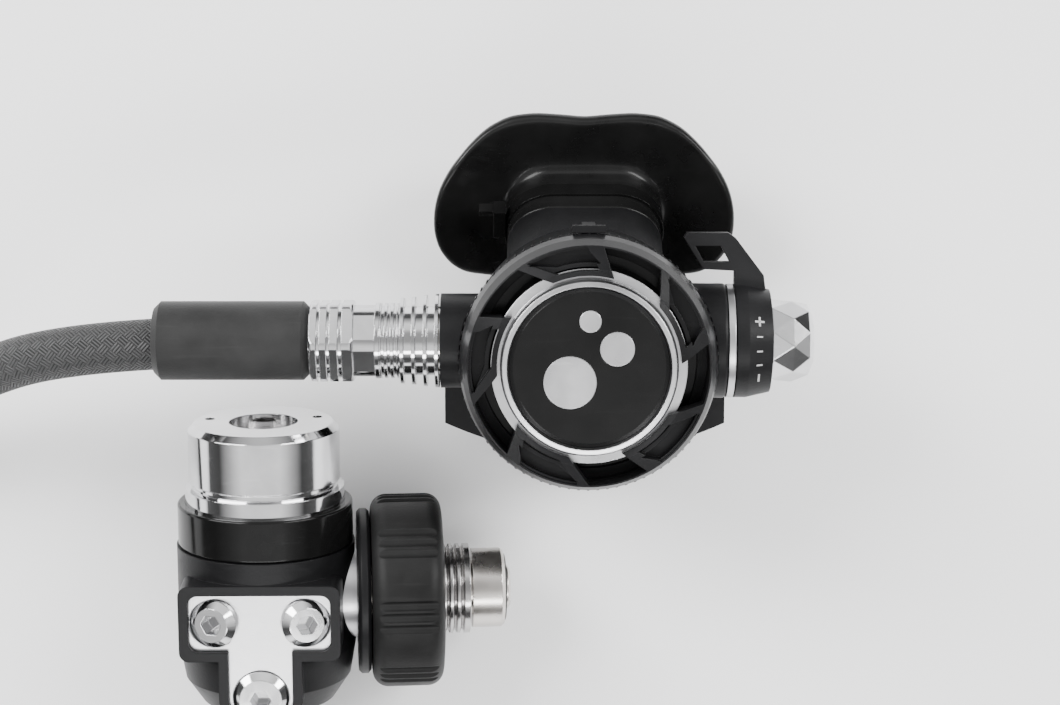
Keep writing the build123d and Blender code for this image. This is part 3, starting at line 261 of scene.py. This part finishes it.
def braid_finish(name, dark, light):
    """Woven cover of the hose: two sets of three-strand carriers that cross over and under; its colour follows the
    strands' height, with painted shade in the grooves between strands and a painted highlight on their crowns.
    """
    material = bpy.data.materials.new(name)
    material.use_nodes = True
    tree = material.node_tree
    shader = tree.nodes["Principled BSDF"]
    place = add(tree, "ShaderNodeUVMap", uv_map="along")
    parts = add(tree, "ShaderNodeSeparateXYZ")
    join(tree, place.outputs["UV"], parts.inputs["Vector"])
    around = math_node(tree, "MULTIPLY", parts.outputs["X"], 12.0)
    along = math_node(tree, "MULTIPLY", parts.outputs["Y"], 12.0)
    one = math_node(tree, "ADD", around, along)
    other = math_node(tree, "SUBTRACT", around, along)
    ridge_one = math_node(
        tree, "ABSOLUTE", math_node(tree, "SINE", math_node(tree, "MULTIPLY", one, 3 * math.pi)))
    ridge_other = math_node(
        tree, "ABSOLUTE", math_node(tree, "SINE", math_node(tree, "MULTIPLY", other, 3 * math.pi)))
    step_one = math_node(tree, "SINE", math_node(tree, "MULTIPLY", one, math.pi))
    step_other = math_node(tree, "SINE", math_node(tree, "MULTIPLY", other, math.pi))
    over = math_node(tree, "GREATER_THAN", math_node(tree, "MULTIPLY", step_one, step_other), 0.0)
    weave = add(tree, "ShaderNodeMix", data_type="FLOAT")
    join(tree, over, weave.inputs["Factor"])
    join(tree, ridge_one, weave.inputs["A"])
    join(tree, ridge_other, weave.inputs["B"])
    strand = weave.outputs["Result"]
    fuzz = noise(tree, 2600.0, 2.0, 0.6, add(tree, "ShaderNodeTexCoord").outputs["Object"])
    height = math_node(tree, "ADD", strand, math_node(tree, "MULTIPLY", fuzz.outputs["Fac"], 0.35))
    raised = add(tree, "ShaderNodeBump")
    raised.inputs["Strength"].default_value = 0.85
    raised.inputs["Distance"].default_value = 0.0003
    join(tree, height, raised.inputs["Height"])
    # Painted light: the colour runs from the dark tone in the grooves between strands (painted shade) to the lighter
    # tone on the strand crowns (painted highlight).
    tint = add(tree, "ShaderNodeMix", data_type="RGBA")
    tint.inputs["A"].default_value = (*dark, 1)
    tint.inputs["B"].default_value = (*light, 1)
    join(tree, strand, tint.inputs["Factor"])
    join(tree, tint.outputs["Result"], shader.inputs["Base Color"])
    join(tree, spread(tree, strand, 0.0, 1.0, 0.75, 0.42), shader.inputs["Roughness"])
    join(tree, raised.outputs["Normal"], shader.inputs["Normal"])
    return material


FINISHES = {}


def make_finishes(look, detail):
    group = surface_group()
    black = tuple(look.plastic_colour)
    grey = tuple(1.8 * part for part in black)
    chrome = tuple(look.chrome_colour)
    dull = tuple(0.82 * part for part in chrome)
    FINISHES.update({
        "case_plastic": finish("moulded_case_plastic", group, black, grey, (0.34, 0.46), 1400, 0.12),
        "cover_plastic": finish("satin_cover_plastic", group, black, grey, (0.26, 0.36), 1800, 0.06, coat=0.04),
        "gloss_black": finish(
            "gloss_black_plastic", group, (0.004,) * 3, (0.007,) * 3, (0.1, 0.2), 900, 0.01, coat=0.12),
        "silicone": finish("moulded_silicone", group, (0.005,) * 3, (0.01,) * 3, (0.24, 0.34), 700, 0.04, coat=0.15),
        "rubber": finish("protector_rubber", group, (0.014,) * 3, (0.026,) * 3, (0.5, 0.62), 2200, 0.2, sheen=0.1),
        "wheel_rubber": finish("handwheel_rubber", group, (0.007,) * 3, (0.013,) * 3, (0.42, 0.55), 1600, 0.15),
        "chrome": finish("polished_chrome", group, dull, chrome, (0.06, 0.13), 500, 0.012, metal=1.0),
        "satin_chrome": finish(
            "satin_chrome", group, (0.5, 0.5, 0.51), (0.62, 0.62, 0.63), (0.26, 0.36), 2400, 0.06, metal=1.0),
        "steel": finish(
            "turned_steel", group, (0.56, 0.53, 0.5), (0.66, 0.63, 0.6), (0.2, 0.3), 1200, 0.03, metal=1.0),
        "brass": finish(
            "turned_brass", group, (0.5, 0.33, 0.15), (0.62, 0.44, 0.22), (0.22, 0.32), 1200, 0.03, metal=1.0),
        "inner_plastic": finish(
            "inner_plastic", group, (0.55, 0.55, 0.52), (0.65, 0.65, 0.62), (0.4, 0.5), 1200, 0.05),
        "thread_metal": finish(
            "plated_thread", group, (0.42, 0.41, 0.41), (0.6, 0.59, 0.58), (0.14, 0.24), 1200, 0.03, metal=1.0),
        "plate_chrome": finish(
            "satin_plate", group, (0.6, 0.6, 0.61), (0.7, 0.7, 0.71), (0.3, 0.38), 2600, 0.1, metal=1.0),
        "mark_paint": finish("mark_paint", group, (0.4,) * 3, tuple(detail.mark_colour), (0.4, 0.5), 1500, 0.03),
        # Braid tones: the dark one is painted shade in the grooves between strands, the lighter one a painted
        # highlight on the strand crowns.
        "braid": braid_finish("braided_cover", (0.004, 0.004, 0.004), (0.035, 0.035, 0.036)),
    })


# ---- Sizes and colours

class RegulatorHose(bpy.types.PropertyGroup):
    diameter: bpy.props.FloatProperty(
        name="Hose diameter", description="Outer diameter of the braided hose", default=12.7 * MM, unit="LENGTH")
    around: bpy.props.IntProperty(name="Facets around", description="Points round the hose", default=40)


class RegulatorLook(bpy.types.PropertyGroup):
    plastic_colour: bpy.props.FloatVectorProperty(
        name="Plastic colour", description="Base colour of the moulded plastic", default=(0.006, 0.006, 0.0064),
        subtype="COLOR")
    chrome_colour: bpy.props.FloatVectorProperty(
        name="Chrome colour", description="Base colour of the plated parts", default=(0.72, 0.72, 0.73),
        subtype="COLOR")


class RegulatorStage(bpy.types.PropertyGroup):
    elevation: bpy.props.FloatProperty(
        name="Camera elevation", description="Angle of the camera above the floor", default=math.radians(80),
        subtype="ANGLE")
    distance: bpy.props.FloatProperty(
        name="Camera distance", description="From the camera to the point it looks at", default=0.6, unit="LENGTH")
    lens: bpy.props.FloatProperty(name="Lens", description="Focal length in millimetres", default=82.5)
    floor_colour: bpy.props.FloatVectorProperty(
        name="Floor colour", description="Base colour of the floor", default=(0.93, 0.93, 0.935), subtype="COLOR")
    world_strength: bpy.props.FloatProperty(
        name="Room light", description="Strength of the even light from all round", default=1.6)


# ---- Hose

# Control points of the hose line, in metres, from the second stage to the first.
HOSE_LINE = (
    (-0.04435, 0.01634, 0.05770), (-0.09835, 0.01634, 0.05770), (-0.13885, 0.00900, 0.03260),
    (-0.17135, -0.01050, 0.01000), (-0.19835, -0.04250, 0.00645), (-0.20835, -0.08450, 0.00645),
    (-0.19935, -0.12850, 0.00645), (-0.17335, -0.16000, 0.00645), (-0.13695, -0.17460, 0.00645),
    (-0.09905, -0.16910, 0.00800), (-0.06975, -0.14680, 0.01250), (-0.05535, -0.11383, 0.01900),
    (-0.05535, -0.08083, 0.01900),
)


def spline_points(name, controls):
    """Points along the line that the CAD hose was swept on."""
    curve = bpy.data.curves.new(name, "CURVE")
    curve.dimensions = "3D"
    spline = curve.splines.new("NURBS")
    spline.points.add(len(controls) - 1)
    for point, place in zip(spline.points, controls):
        point.co = (*place, 1)
    spline.order_u = 3
    spline.use_endpoint_u = True
    spline.resolution_u = 24
    holder = bpy.data.objects.new(name, curve)
    bpy.context.scene.collection.objects.link(holder)
    line = bpy.data.meshes.new_from_object(holder)
    points = [vertex.co.copy() for vertex in line.vertices]
    bpy.data.objects.remove(holder)
    bpy.data.meshes.remove(line)
    return points


def even_points(points, step):
    """The same line, walked in even steps."""
    walked = [points[0]]
    room = step
    here = points[0]
    for target in points[1:]:
        gap = (target - here).length
        while gap >= room:
            here = here.lerp(target, room / gap)
            walked.append(here)
            gap = (target - here).length
            room = step
        room -= gap
        here = target
    if (points[-1] - walked[-1]).length > 0.3 * step:
        walked.append(points[-1])
    return walked


def tube_mesh(name, points, radius, around, pitch):
    """Tube along the points with a UV map whose V runs once per pitch of length."""
    made = bmesh.new()
    layer = made.loops.layers.uv.new("along")
    tangent = (points[1] - points[0]).normalized()
    side = tangent.orthogonal().normalized()
    rings = []
    travel = 0.0
    travels = []
    for index, point in enumerate(points):
        ahead = points[min(index + 1, len(points) - 1)] - points[max(index - 1, 0)]
        turned = tangent.rotation_difference(ahead.normalized())
        tangent = ahead.normalized()
        side = turned @ side
        other = tangent.cross(side)
        ring = []
        for n in range(around):
            angle = 2 * math.pi * n / around
            ring.append(made.verts.new(point + radius * (math.cos(angle) * side + math.sin(angle) * other)))
        rings.append(ring)
        if index:
            travel += (point - points[index - 1]).length
        travels.append(travel)
    for r in range(len(rings) - 1):
        for n in range(around):
            after = (n + 1) % around
            face = made.faces.new((rings[r][n], rings[r][after], rings[r + 1][after], rings[r + 1][n]))
            corners = ((n, r), (n + 1, r), (n + 1, r + 1), (n, r + 1))
            for loop, (turn, row) in zip(face.loops, corners):
                loop[layer].uv = (turn / around, travels[row] / pitch)
    made.faces.new(list(reversed(rings[0])))
    made.faces.new(rings[-1])
    mesh = bpy.data.meshes.new(name)
    made.to_mesh(mesh)
    made.free()
    smooth(mesh, 60)
    return mesh


class REGULATOR_OT_hose(bpy.types.Operator):
    """Lays the braided hose along the line of the CAD hose"""
    bl_idname = "regulator.hose"
    bl_label = "Braided Hose"

    def execute(self, context):
        sizes = context.scene.regulator_hose
        line = spline_points("hose_line", HOSE_LINE)
        points = even_points(line, 2.0 * MM)
        radius = sizes.diameter / 2
        mesh = tube_mesh("braided_hose", points, radius, sizes.around, math.pi * sizes.diameter)
        hose = new_object("braided_hose", mesh, FINISHES["braid"], "regulator")
        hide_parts("hose")
        return {"FINISHED"}


# ---- Finishes on the CAD's own pieces

# Nodes whose finish isn't simply that of their slot.
OWN_FINISH = {
    "din_handwheel": "wheel_rubber",
    "din_threaded_sleeve": "thread_metal",
    "front_port_plugs": "chrome",
    "adjuster": "thread_metal",
    "first_stage_body": "plate_chrome",
    "diaphragm_plate": "case_plastic",
    "diaphragm_ring": "case_plastic",
}


class REGULATOR_OT_finishes(bpy.types.Operator):
    """Gives every CAD piece its detailed finish"""
    bl_idname = "regulator.finishes"
    bl_label = "Finishes"

    def execute(self, context):
        slots = {part["node"]: part["material_slot"] for part in frame["record"]["subparts"]}
        for name, piece in frame["nodes"].items():
            material = FINISHES[OWN_FINISH.get(name, slots[name])]
            for holder in piece.material_slots:
                holder.material = material
        return {"FINISHED"}


# ---- Mouthpiece

class RegulatorMouthpiece(bpy.types.PropertyGroup):
    shield_thickness: bpy.props.FloatProperty(
        name="Shield thickness", description="Silicone thickness of the lip shield, in millimetres", default=2.4)
    shield_bend: bpy.props.FloatProperty(
        name="Shield bend", description="Radius the lip shield is bent to, in millimetres", default=86.0)
    rim_flare: bpy.props.FloatProperty(
        name="Rim flare", description="How far the rim turns toward the diver, in millimetres", default=1.6)


# Right half of the lip shield's outline, in millimetres from the tube axis, from the lower notch up.
SHIELD_HALF = (
    (0.0, -26.6), (6.5, -27.4), (13.0, -28.0), (19.4, -27.3), (25.6, -24.6), (31.0, -20.2), (35.2, -15.2),
    (38.0, -9.4), (39.2, -3.2), (39.2, 3.4), (37.8, 9.4), (34.8, 15.0), (30.2, 19.6), (24.0, 22.8),
    (17.0, 24.4), (10.0, 24.0), (4.6, 22.8), (0.0, 22.2),
)
NECK_WIDTH = 40.0
NECK_HEIGHT = 24.0
PASSAGE_WIDTH = 30.0
PASSAGE_HEIGHT = 14.0
NECK_FOOT = 29.0        # where the silicone neck starts on the case's spigot
SHIELD_FRONT = 46.0     # outlet side of the lip shield, along the tube
LOOP_POINTS = 68


def stadium(width, height, share):
    """Point on a slot outline; share runs once round from the lower middle."""
    straight = width - height
    radius = height / 2
    around = 2 * straight + 2 * math.pi * radius
    travel = (share % 1.0) * around
    if travel < straight / 2:
        return (travel, -radius)
    travel -= straight / 2
    if travel < math.pi * radius:
        angle = -math.pi / 2 + travel / radius
        return (straight / 2 + radius * math.cos(angle), radius * math.sin(angle))
    travel -= math.pi * radius
    if travel < straight:
        return (straight / 2 - travel, radius)
    travel -= straight
    if travel < math.pi * radius:
        angle = math.pi / 2 + travel / radius
        return (-straight / 2 + radius * math.cos(angle), radius * math.sin(angle))
    travel -= math.pi * radius
    return (-straight / 2 + travel, -radius)


def stadium_loop(width, height):
    return [stadium(width, height, n / LOOP_POINTS) for n in range(LOOP_POINTS)]


def outline_loop(half):
    """Even points round a mirrored outline, from the lower middle."""
    whole = [Vector(point) for point in half]
    whole += [Vector((-x, y)) for x, y in reversed(half[1:-1])]
    whole.append(whole[0].copy())
    lengths = [(b - a).length for a, b in zip(whole, whole[1:])]
    total = sum(lengths)
    loop = []
    for n in range(LOOP_POINTS):
        travel = total * n / LOOP_POINTS
        for a, b, length in zip(whole, whole[1:], lengths):
            if travel <= length:
                loop.append(tuple(a.lerp(b, travel / length)))
                break
            travel -= length
    return loop


def blend_loop(first, second, share):
    return [
        (a[0] + (b[0] - a[0]) * share, a[1] + (b[1] - a[1]) * share)
        for a, b in zip(first, second)
    ]


def shield_depth(sizes, x):
    """Bend of the shield: its wings lean back toward the case."""
    bend = sizes.shield_bend
    return bend - math.sqrt(bend * bend - x * x)


class REGULATOR_OT_mouthpiece(bpy.types.Operator):
    """Models the silicone mouthpiece: neck, lip shield, passage and bite tabs"""
    bl_idname = "regulator.mouthpiece"
    bl_label = "Mouthpiece"

    def execute(self, context):
        sizes = context.scene.regulator_mouthpiece
        skin = self.skin(sizes)
        tabs = [self.tab(side) for side in (-1, 1)]
        made = bmesh.new()
        for mesh in (skin, *tabs):
            made.from_mesh(mesh)
            bpy.data.meshes.remove(mesh)
        whole = bpy.data.meshes.new("mouthpiece_silicone")
        made.to_mesh(whole)
        made.free()
        smooth(whole)
        piece = new_object("mouthpiece_silicone", whole, FINISHES["silicone"], "regulator")
        subdivide(piece, 2)
        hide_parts("mouthpiece")
        return {"FINISHED"}

    def skin(self, sizes):
        """One closed skin: out along the neck, round the shield's rim and back through the passage."""
        thick = sizes.shield_thickness
        rim = outline_loop(SHIELD_HALF)
        neck = stadium_loop(NECK_WIDTH, NECK_HEIGHT)
        root = stadium_loop(NECK_WIDTH + 3.0, NECK_HEIGHT + 3.0)
        passage = stadium_loop(PASSAGE_WIDTH, PASSAGE_HEIGHT)
        socket = stadium_loop(NECK_WIDTH - 4.7, NECK_HEIGHT - 4.7)
        front = SHIELD_FRONT
        rings = [
            self.flat(neck, NECK_FOOT + 0.1), self.flat(neck, NECK_FOOT + 0.9), self.flat(neck, NECK_FOOT + 2.4),
            self.flat(neck, front - 5.0), self.flat(neck, front - 2.4), self.bent(sizes, root, front - 0.6),
        ]
        for share in (0.18, 0.42, 0.66, 0.84, 0.94):
            rings.append(self.bent(sizes, blend_loop(root, rim, share), front))
        lift = sizes.rim_flare
        rings += [
            self.bent(sizes, rim, front + 0.5 * lift),
            self.bent(sizes, blend_loop(root, rim, 1.012), front + 0.5 * lift + 0.55 * thick),
            self.bent(sizes, blend_loop(root, rim, 0.985), front + lift + 0.85 * thick),
            self.bent(sizes, blend_loop(root, rim, 0.93), front + 0.55 * lift + thick),
        ]
        for share in (0.84, 0.6, 0.3):
            rings.append(self.bent(sizes, blend_loop(root, rim, share), front + thick))
        rings += [
            self.bent(sizes, blend_loop(passage, root, 0.75), front + thick),
            self.flat(blend_loop(passage, root, 0.35), front + thick + 0.7),
            self.flat(passage, front + thick + 0.2), self.flat(passage, front + thick - 1.4),
            self.flat(passage, 42.6), self.flat(passage, 41.4),
            self.flat(blend_loop(passage, socket, 0.3), 41.2), self.flat(socket, 41.1), self.flat(socket, 40.4),
            self.flat(socket, NECK_FOOT + 1.2), self.flat(socket, NECK_FOOT + 0.2),
        ]
        mesh = loft("mouthpiece_skin", rings, MOUTH, closed=True)
        fix_normals(mesh)
        return mesh

    def flat(self, loop, height):
        return [(x, y, height) for x, y in loop]

    def bent(self, sizes, loop, height):
        """Loop on the bent shield; near the neck it keeps its height."""
        ring = []
        for x, y in loop:
            outward = max(0.0, abs(x) - NECK_WIDTH / 2)
            ring.append((x, y, height - shield_depth(sizes, x) * min(1.0, 0.25 + outward / 16.0)))
        return ring

    def tab(self, side):
        """Bite tab: a flat arm with a stop at its end."""
        sections = (
            (3.0, 6.0, 4.4), (6.0, 5.4, 2.6), (10.0, 6.0, 1.9), (14.0, 7.0, 1.8), (16.4, 7.2, 2.2),
            (17.6, 7.2, 4.4), (19.4, 6.8, 5.0), (20.6, 5.0, 3.4),
        )
        rings = []
        for reach, half_width, half_height in sections:
            swing = side * (18.6 + 0.04 * reach * reach * 0.5)
            ring = []
            for n in range(16):
                angle = 2 * math.pi * n / 16
                across = math.copysign(abs(math.cos(angle)) ** 0.6, math.cos(angle)) * half_height * 0.5
                along = math.copysign(abs(math.sin(angle)) ** 0.6, math.sin(angle)) * half_width
                ring.append((swing + along * 0.62, across + 0.0, SHIELD_FRONT + reach - 2.4))
            rings.append(ring)
        mesh = loft("bite_tab", rings, MOUTH, caps=True)
        fix_normals(mesh)
        return mesh


# ---- Grip ribs and marks

class RegulatorDetail(bpy.types.PropertyGroup):
    ribs: bpy.props.IntProperty(name="Grip ribs", description="Ribs round the cover's skirt", default=84)
    rib_height: bpy.props.FloatProperty(
        name="Rib height", description="How far a rib stands out, in millimetres", default=0.28)
    mark_colour: bpy.props.FloatVectorProperty(
        name="Mark colour", description="Paint of the setting marks", default=(0.5, 0.5, 0.5), subtype="COLOR")


COVER_RADIUS = 31.1
COVER_RIB_Z = (13.0, 16.4)
COLLAR_RADIUS = 13.42   # venturi collar where the marks are printed
COLLAR_MARK_Z = 41.4


def add_block(made, place, size):
    """Box of a size round a place, both as given by a 4 x 4 matrix and three lengths."""
    scale = Matrix.Diagonal((*size, 1))
    bmesh.ops.create_cube(made, size=1, matrix=place @ scale)


class REGULATOR_OT_grip_ribs(bpy.types.Operator):
    """Adds the fine ribs round the cover's skirt"""
    bl_idname = "regulator.grip_ribs"
    bl_label = "Grip Ribs"

    def execute(self, context):
        sizes = context.scene.regulator_detail
        low, high = COVER_RIB_Z
        made = bmesh.new()
        for n in range(sizes.ribs):
            turn = Matrix.Rotation(2 * math.pi * n / sizes.ribs, 4, "Z")
            out = COVER_RADIUS - 0.2 + sizes.rib_height / 2
            place = CAN @ turn @ Matrix.Translation((out, 0, (low + high) / 2))
            add_block(made, place, (sizes.rib_height + 0.4, 0.7, high - low))
        mesh = bpy.data.meshes.new("cover_ribs")
        made.to_mesh(mesh)
        made.free()
        ribs = new_object("cover_ribs", mesh, FINISHES["cover_plastic"], "regulator")
        rounded = ribs.modifiers.new("Bevel", "BEVEL")
        rounded.width = 0.12 * MM
        rounded.segments = 2
        return {"FINISHED"}


class REGULATOR_OT_marks(bpy.types.Operator):
    """Adds the plus and minus marks and the ticks between them to the venturi collar"""
    bl_idname = "regulator.marks"
    bl_label = "Setting Marks"

    def execute(self, context):
        made = bmesh.new()
        for degrees, across, along in (
                (152, 2.4, 0.5), (152, 0.5, 2.4), (214, 2.4, 0.5), (168, 0.4, 1.5), (183, 0.4, 1.5), (198, 0.4, 1.5)):
            turn = Matrix.Rotation(math.radians(degrees), 4, "Z")
            place = BARREL @ turn @ Matrix.Translation((COLLAR_RADIUS, 0, COLLAR_MARK_Z))
            lean = Matrix.Rotation(math.radians(-12.8), 4, "Y")
            add_block(made, place @ lean, (0.22, across, along))
        mesh = bpy.data.meshes.new("setting_marks")
        made.to_mesh(mesh)
        made.free()
        new_object("setting_marks", mesh, FINISHES["mark_paint"], "venturi")
        return {"FINISHED"}


# ---- Stage

AIM_OFFSET = Vector((-0.0141, 0.0, 0.0))


FLOOR_HALF_WIDTH = 3.0
FLOOR_GAP = 0.0002      # floor below the set, so that the two faces don't coincide
LIGHT_AIM = (0.0, 0.0, 0.03)
# Name, place, width, height and power of each area light.
LIGHTS = (
    ("left_softbox", (-0.75, 0.35, 0.8), 0.45, 0.9, 19.0),
    ("right_softbox", (0.8, 0.25, 0.7), 0.3, 0.9, 13.0),
    ("front_strip", (0.0, -0.9, 0.8), 1.2, 0.2, 9.0),
)
# Place and brightness along the room's height: dark below, bright at the sides, dimmer overhead.
SKY_STOPS = ((0.0, 0.10), (0.30, 0.06), (0.52, 0.45), (0.70, 1.0), (0.88, 0.9), (0.97, 0.35))


class REGULATOR_OT_stage(bpy.types.Operator):
    """Sets the floor, the lights and the camera"""
    bl_idname = "regulator.stage"
    bl_label = "Studio Stage"

    def execute(self, context):
        look = context.scene.regulator_stage
        self.floor(look)
        self.lights(look)
        self.camera(context, look)
        return {"FINISHED"}

    def floor(self, look):
        size = FLOOR_HALF_WIDTH
        corners = [(-size, -size, 0), (size, -size, 0), (size, size, 0), (-size, size, 0)]
        mesh = bpy.data.meshes.new("floor")
        mesh.from_pydata(corners, [], [(0, 1, 2, 3)])
        material = bpy.data.materials.new("floor")
        material.use_nodes = True
        tree = material.node_tree
        shader = tree.nodes["Principled BSDF"]
        shader.inputs["Base Color"].default_value = (*look.floor_colour, 1)
        shader.inputs["Roughness"].default_value = 0.6
        mesh.materials.append(material)
        floor = bpy.data.objects.new("floor", mesh)
        floor.location.z = -FLOOR_GAP
        bpy.context.scene.collection.objects.link(floor)

    def lights(self, look):
        world = bpy.data.worlds.new("studio")
        world.use_nodes = True
        tree = world.node_tree
        parts = add(tree, "ShaderNodeSeparateXYZ")
        join(tree, add(tree, "ShaderNodeTexCoord").outputs["Generated"], parts.inputs["Vector"])
        sky = add(tree, "ShaderNodeValToRGB")
        join(tree, parts.outputs["Z"], sky.inputs["Fac"])
        for index, (place, value) in enumerate(SKY_STOPS):
            stop = sky.color_ramp.elements[index] if index < 2 else sky.color_ramp.elements.new(place)
            stop.position = place
            stop.color = (value, value, value, 1)
        background = tree.nodes["Background"]
        join(tree, sky.outputs["Color"], background.inputs["Color"])
        background.inputs["Strength"].default_value = look.world_strength
        bpy.context.scene.world = world
        for name, place, width, height, power in LIGHTS:
            data = bpy.data.lights.new(name, "AREA")
            data.shape = "RECTANGLE"
            data.size = width
            data.size_y = height
            data.energy = power
            light = bpy.data.objects.new(name, data)
            light.location = place
            aim = Vector(LIGHT_AIM) - light.location
            light.rotation_euler = aim.to_track_quat("-Z", "Y").to_euler()
            bpy.context.scene.collection.objects.link(light)

    def camera(self, context, look):
        target = CAN_ORIGIN + AIM_OFFSET
        data = bpy.data.cameras.new("camera")
        data.lens = look.lens
        data.sensor_width = 36
        camera = bpy.data.objects.new("camera", data)
        back = Vector((0, -math.cos(look.elevation), math.sin(look.elevation)))
        camera.location = target + look.distance * back
        camera.rotation_euler = (math.pi / 2 - look.elevation, 0, 0)
        context.scene.collection.objects.link(camera)
        context.scene.camera = camera


# ---- Panel and registration

class REGULATOR_PT_panel(bpy.types.Panel):
    bl_label = "Scuba Regulator"
    bl_idname = "REGULATOR_PT_panel"
    bl_space_type = "VIEW_3D"
    bl_region_type = "UI"
    bl_category = "Regulator"

    def draw(self, context):
        layout = self.layout
        scene = context.scene
        for name in GROUPS:
            group = getattr(scene, name)
            box = layout.box()
            for key in group.bl_rna.properties.keys():
                if key not in ("rna_type", "name"):
                    box.prop(group, key)
        for operator in OPERATORS:
            layout.operator(operator.bl_idname)


GROUPS = {
    "regulator_look": RegulatorLook,
    "regulator_hose": RegulatorHose,
    "regulator_mouthpiece": RegulatorMouthpiece,
    "regulator_detail": RegulatorDetail,
    "regulator_stage": RegulatorStage,
}
OPERATORS = (
    REGULATOR_OT_hose, REGULATOR_OT_mouthpiece, REGULATOR_OT_grip_ribs, REGULATOR_OT_marks,
    REGULATOR_OT_finishes, REGULATOR_OT_stage,
)


def register():
    for group in GROUPS.values():
        bpy.utils.register_class(group)
    for operator in OPERATORS:
        bpy.utils.register_class(operator)
    bpy.utils.register_class(REGULATOR_PT_panel)
    for name, group in GROUPS.items():
        setattr(bpy.types.Scene, name, bpy.props.PointerProperty(type=group))


def unregister():
    for name in GROUPS:
        delattr(bpy.types.Scene, name)
    for item in (REGULATOR_PT_panel, *reversed(OPERATORS), *GROUPS.values()):
        bpy.utils.unregister_class(item)


def main():
    register()
    make_finishes(bpy.context.scene.regulator_look, bpy.context.scene.regulator_detail)
    bpy.ops.regulator.hose()
    bpy.ops.regulator.mouthpiece()
    bpy.ops.regulator.grip_ribs()
    bpy.ops.regulator.marks()
    bpy.ops.regulator.finishes()
    bpy.ops.regulator.stage()


if __name__ == "__main__":
    main()
